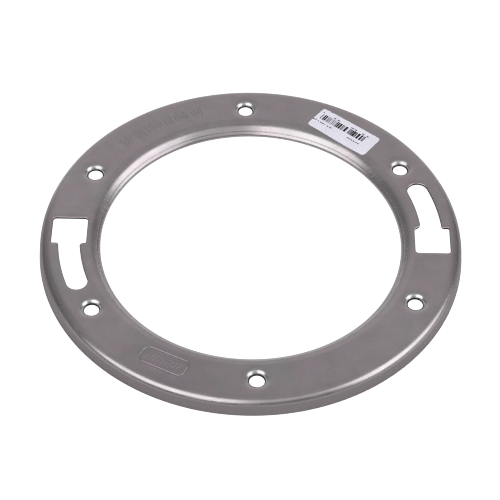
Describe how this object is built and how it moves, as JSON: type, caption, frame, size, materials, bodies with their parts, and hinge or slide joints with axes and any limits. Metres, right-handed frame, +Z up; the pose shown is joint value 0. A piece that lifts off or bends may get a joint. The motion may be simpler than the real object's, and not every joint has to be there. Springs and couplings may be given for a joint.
{
  "type": "toilet flange ring",
  "caption": "Stamped stainless closet flange ring: flared skirt, sloped inner lip, dimpled screw holes and keyhole bolt slots, with a small barcode label.",
  "frame": {"origin": "centre of the ring in the plane of the skirt's lower rim, where the ring stands on the floor", "axes": "+Z up out of the top face, towards the toilet bowl; +X through the middle of the right-hand bolt slot's circle, so that one screw hole lies on -Y and one on +Y"},
  "size_m": [0.1778, 0.1778, 0.0081],
  "materials": {
    "stainless_sheet": "dull mill-finish stainless sheet, pressed and blanked, with faint mottling and burnished bends",
    "label_paper": null
  },
  "bodies": {
    "root": {"flange_ring": "stainless_sheet", "barcode_label": "label_paper"}
  },
  "joints": []
}
